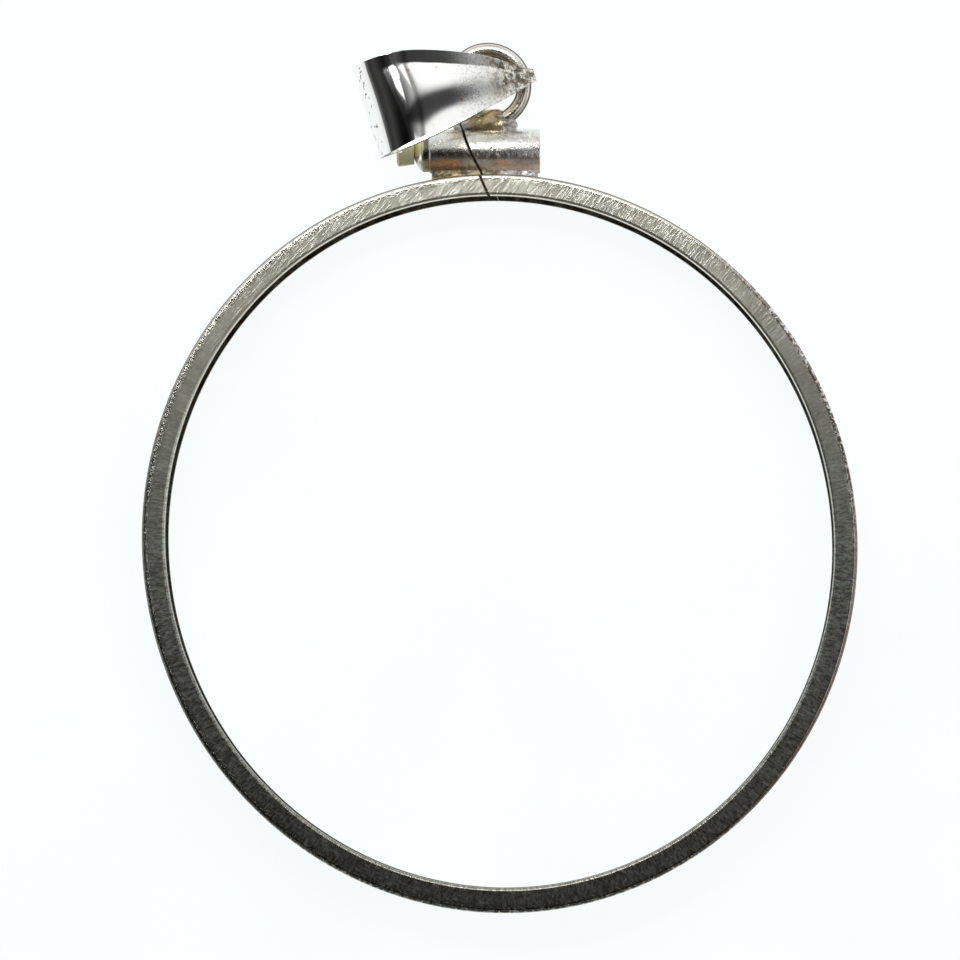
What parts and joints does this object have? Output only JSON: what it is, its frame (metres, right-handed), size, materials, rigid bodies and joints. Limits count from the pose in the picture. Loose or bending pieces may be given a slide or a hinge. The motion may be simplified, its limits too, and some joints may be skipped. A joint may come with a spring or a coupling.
{
  "type": "coin bezel pendant",
  "caption": "Split channel ring for a large coin, with a screw barrel, a soldered wire loop and a folded sheet bail that swings on the loop.",
  "frame": {"origin": "centre of the coin seat, at half the ring's depth", "axes": "+Z is the front, +Y runs from the seat's centre to the barrel and the loop, +X runs along the barrel, away from the screw's head"},
  "size_m": [0.0386, 0.0472, 0.0078],
  "materials": {
    "bezel_metal": "worn silver with fine brush lines and light scratches",
    "screw_metal": "dull pale brass",
    "bail_metal": "polished silver, rough and tarnished where it is soldered"
  },
  "bodies": {
    "bezel": {"bezel": "bezel_metal"},
    "screw": {"screw": "screw_metal"},
    "bail": {"bail": "bail_metal"}
  },
  "joints": [
    {"name": "bail_swing", "type": "hinge", "parent": "bezel", "child": "bail", "pos_m": [0.00119, 0.02538, 0], "axis": [-0.2756, 0.9613, 0], "range_deg": [0, 297]},
    {"name": "screw_turn", "type": "hinge", "parent": "bezel", "child": "screw", "pos_m": [0, 0.0213, 0], "axis": [1, 0, 0], "continuous": true}
  ]
}
